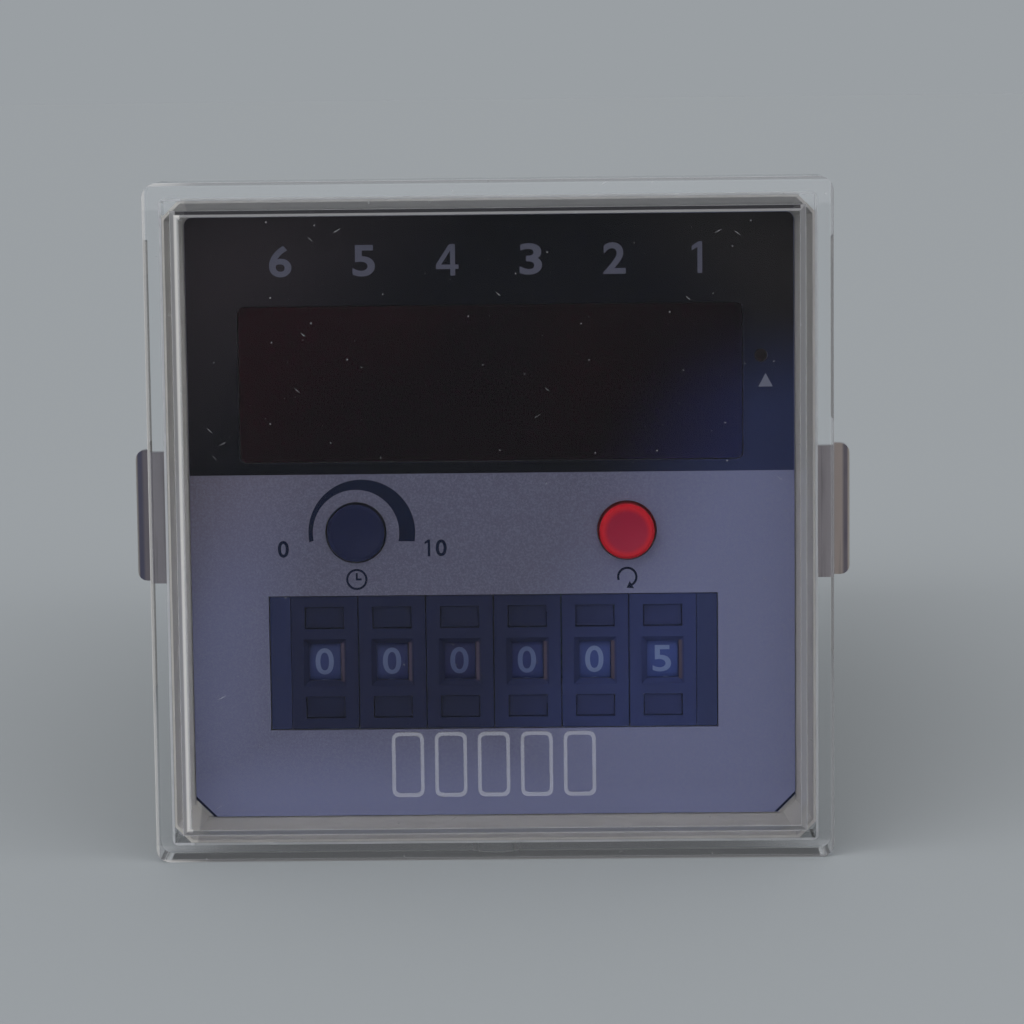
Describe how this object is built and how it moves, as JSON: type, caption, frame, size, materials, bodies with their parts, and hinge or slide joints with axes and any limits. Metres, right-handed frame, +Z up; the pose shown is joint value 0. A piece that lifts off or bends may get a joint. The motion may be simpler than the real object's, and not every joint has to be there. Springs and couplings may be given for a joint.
{
  "type": "digital preset counter",
  "caption": "Square panel-mount preset counter with a digit display, push-button thumbwheel switches, a time knob and a reset button behind a clear pull-off cover.",
  "frame": {"origin": "middle of the square panel cut-out, on the plane of the panel's front face", "axes": "+X to the right seen from the front, +Y into the panel, +Z up; the front faces -Y"},
  "size_m": [0.0808, 0.1004, 0.0758],
  "materials": {
    "clear_plastic": "clear, glossy",
    "bezel_grey": "fine satin",
    "face_print": "printed sheet, satin",
    "red_filter": "smooth",
    "board_green": "lacquered",
    "display_black": "smooth",
    "screw_steel": "zinc plated",
    "lamp_red": "smooth",
    "reset_red": "satin",
    "black_plastic": "satin",
    "knob_blue": "satin",
    "pot_blue": "satin",
    "switch_blue": "satin",
    "end_plate_blue": "satin",
    "wheel_blue": "satin",
    "step_black": "satin",
    "rod_steel": "drawn",
    "core_steel": "varnished",
    "coil_tape": "taped",
    "relay_blue": "satin",
    "capacitor_sleeve": "smooth",
    "case_grey": "fine grain",
    "terminal_black": "satin",
    "terminal_brass": "nickel plated",
    "terminal_steel": "zinc plated",
    "clamp_steel": "zinc plated",
    "jack_steel": "zinc plated"
  },
  "bodies": {
    "housing": {"front_bezel": "bezel_grey", "face_sheet": "face_print", "display_filter": "red_filter", "display_board": "board_green", "board_screws": "screw_steel", "indicator_lamp": "lamp_red", "reset_switch": "black_plastic", "potentiometer": "pot_blue", "left_end_plate": "end_plate_blue", "right_end_plate": "end_plate_blue", "tie_rods": "rod_steel", "code_boards": "board_green", "switch_board": "board_green", "board_header": "black_plastic", "main_board": "board_green", "transformer_core": "core_steel", "transformer_coil": "coil_tape", "relay": "relay_blue", "filter_capacitor": "capacitor_sleeve", "processor_chip": "black_plastic", "case_shell": "case_grey", "terminal_block": "terminal_black", "terminal_plates": "terminal_brass", "terminal_screws": "terminal_steel", "rear_screws": "screw_steel", "display_module_1": "display_black", "display_module_2": "display_black", "display_module_3": "display_black", "switch_body_1": "switch_blue", "switch_body_2": "switch_blue", "switch_body_3": "switch_blue", "switch_body_4": "switch_blue", "switch_body_5": "switch_blue", "switch_body_6": "switch_blue"},
    "cover": {"front_cover": "clear_plastic"},
    "reset": {"reset_button": "reset_red"},
    "knob": {"time_knob": "knob_blue"},
    "left_clamp_body": {"left_clamp": "clamp_steel"},
    "right_clamp_body": {"right_clamp": "clamp_steel"},
    "left_screw": {"left_jack_screw": "jack_steel"},
    "right_screw": {"right_jack_screw": "jack_steel"},
    "wheel_1": {"digit_wheel_1": "wheel_blue"},
    "plus_1": {"plus_button_1": "step_black"},
    "minus_1": {"minus_button_1": "step_black"},
    "wheel_2": {"digit_wheel_2": "wheel_blue"},
    "plus_2": {"plus_button_2": "step_black"},
    "minus_2": {"minus_button_2": "step_black"},
    "wheel_3": {"digit_wheel_3": "wheel_blue"},
    "plus_3": {"plus_button_3": "step_black"},
    "minus_3": {"minus_button_3": "step_black"},
    "wheel_4": {"digit_wheel_4": "wheel_blue"},
    "plus_4": {"plus_button_4": "step_black"},
    "minus_4": {"minus_button_4": "step_black"},
    "wheel_5": {"digit_wheel_5": "wheel_blue"},
    "plus_5": {"plus_button_5": "step_black"},
    "minus_5": {"minus_button_5": "step_black"},
    "wheel_6": {"digit_wheel_6": "wheel_blue"},
    "plus_6": {"plus_button_6": "step_black"},
    "minus_6": {"minus_button_6": "step_black"}
  },
  "joints": [
    {"name": "cover_pull", "type": "slide", "parent": "housing", "child": "cover", "axis": [0, -1, 0], "range_m": [0, 0.02]},
    {"name": "reset_press", "type": "slide", "parent": "housing", "child": "reset", "axis": [0, 1, 0], "range_m": [0, 0.001], "stiffness_N_per_m": 1200, "springref_m": -0.0005},
    {"name": "knob_turn", "type": "hinge", "parent": "housing", "child": "knob", "pos_m": [-0.0153, -0.0016, -0.0016], "axis": [0, 1, 0], "range_deg": [-135, 135]},
    {"name": "wheel_1_turn", "type": "hinge", "parent": "housing", "child": "wheel_1", "pos_m": [-0.01905, 0.0051, -0.0164], "axis": [1, 0, 0], "continuous": true},
    {"name": "wheel_2_turn", "type": "hinge", "parent": "housing", "child": "wheel_2", "pos_m": [-0.01143, 0.0051, -0.0164], "axis": [1, 0, 0], "continuous": true},
    {"name": "wheel_3_turn", "type": "hinge", "parent": "housing", "child": "wheel_3", "pos_m": [-0.00381, 0.0051, -0.0164], "axis": [1, 0, 0], "continuous": true},
    {"name": "wheel_4_turn", "type": "hinge", "parent": "housing", "child": "wheel_4", "pos_m": [0.00381, 0.0051, -0.0164], "axis": [1, 0, 0], "continuous": true},
    {"name": "wheel_5_turn", "type": "hinge", "parent": "housing", "child": "wheel_5", "pos_m": [0.01143, 0.0051, -0.0164], "axis": [1, 0, 0], "continuous": true},
    {"name": "wheel_6_turn", "type": "hinge", "parent": "housing", "child": "wheel_6", "pos_m": [0.01905, 0.0051, -0.0164], "axis": [1, 0, 0], "continuous": true},
    {"name": "plus_1_press", "type": "slide", "parent": "housing", "child": "plus_1", "axis": [0, 1, 0], "range_m": [0, 0.001], "stiffness_N_per_m": 600, "springref_m": -0.0005},
    {"name": "minus_1_press", "type": "slide", "parent": "housing", "child": "minus_1", "axis": [0, 1, 0], "range_m": [0, 0.001], "stiffness_N_per_m": 600, "springref_m": -0.0005},
    {"name": "plus_2_press", "type": "slide", "parent": "housing", "child": "plus_2", "axis": [0, 1, 0], "range_m": [0, 0.001], "stiffness_N_per_m": 600, "springref_m": -0.0005},
    {"name": "minus_2_press", "type": "slide", "parent": "housing", "child": "minus_2", "axis": [0, 1, 0], "range_m": [0, 0.001], "stiffness_N_per_m": 600, "springref_m": -0.0005},
    {"name": "plus_3_press", "type": "slide", "parent": "housing", "child": "plus_3", "axis": [0, 1, 0], "range_m": [0, 0.001], "stiffness_N_per_m": 600, "springref_m": -0.0005},
    {"name": "minus_3_press", "type": "slide", "parent": "housing", "child": "minus_3", "axis": [0, 1, 0], "range_m": [0, 0.001], "stiffness_N_per_m": 600, "springref_m": -0.0005},
    {"name": "plus_4_press", "type": "slide", "parent": "housing", "child": "plus_4", "axis": [0, 1, 0], "range_m": [0, 0.001], "stiffness_N_per_m": 600, "springref_m": -0.0005},
    {"name": "minus_4_press", "type": "slide", "parent": "housing", "child": "minus_4", "axis": [0, 1, 0], "range_m": [0, 0.001], "stiffness_N_per_m": 600, "springref_m": -0.0005},
    {"name": "plus_5_press", "type": "slide", "parent": "housing", "child": "plus_5", "axis": [0, 1, 0], "range_m": [0, 0.001], "stiffness_N_per_m": 600, "springref_m": -0.0005},
    {"name": "minus_5_press", "type": "slide", "parent": "housing", "child": "minus_5", "axis": [0, 1, 0], "range_m": [0, 0.001], "stiffness_N_per_m": 600, "springref_m": -0.0005},
    {"name": "plus_6_press", "type": "slide", "parent": "housing", "child": "plus_6", "axis": [0, 1, 0], "range_m": [0, 0.001], "stiffness_N_per_m": 600, "springref_m": -0.0005},
    {"name": "minus_6_press", "type": "slide", "parent": "housing", "child": "minus_6", "axis": [0, 1, 0], "range_m": [0, 0.001], "stiffness_N_per_m": 600, "springref_m": -0.0005},
    {"name": "left_screw_turn", "type": "hinge", "parent": "housing", "child": "left_screw", "pos_m": [-0.0298, 0.042, 0], "axis": [0, 1, 0], "range_deg": [-792, 2880]},
    {"name": "left_clamp_slide", "type": "slide", "parent": "housing", "child": "left_clamp_body", "axis": [0, 1, 0], "range_m": [-0.0011, 0.004]},
    {"name": "right_screw_turn", "type": "hinge", "parent": "housing", "child": "right_screw", "pos_m": [0.0298, 0.042, 0], "axis": [0, 1, 0], "range_deg": [-792, 2880]},
    {"name": "right_clamp_slide", "type": "slide", "parent": "housing", "child": "right_clamp_body", "axis": [0, 1, 0], "range_m": [-0.0011, 0.004]}
  ],
  "couplings": [
    {"joint": "left_screw_turn", "follows": "left_clamp_slide", "rad_per_m": 12566},
    {"joint": "right_screw_turn", "follows": "right_clamp_slide", "rad_per_m": 12566}
  ]
}
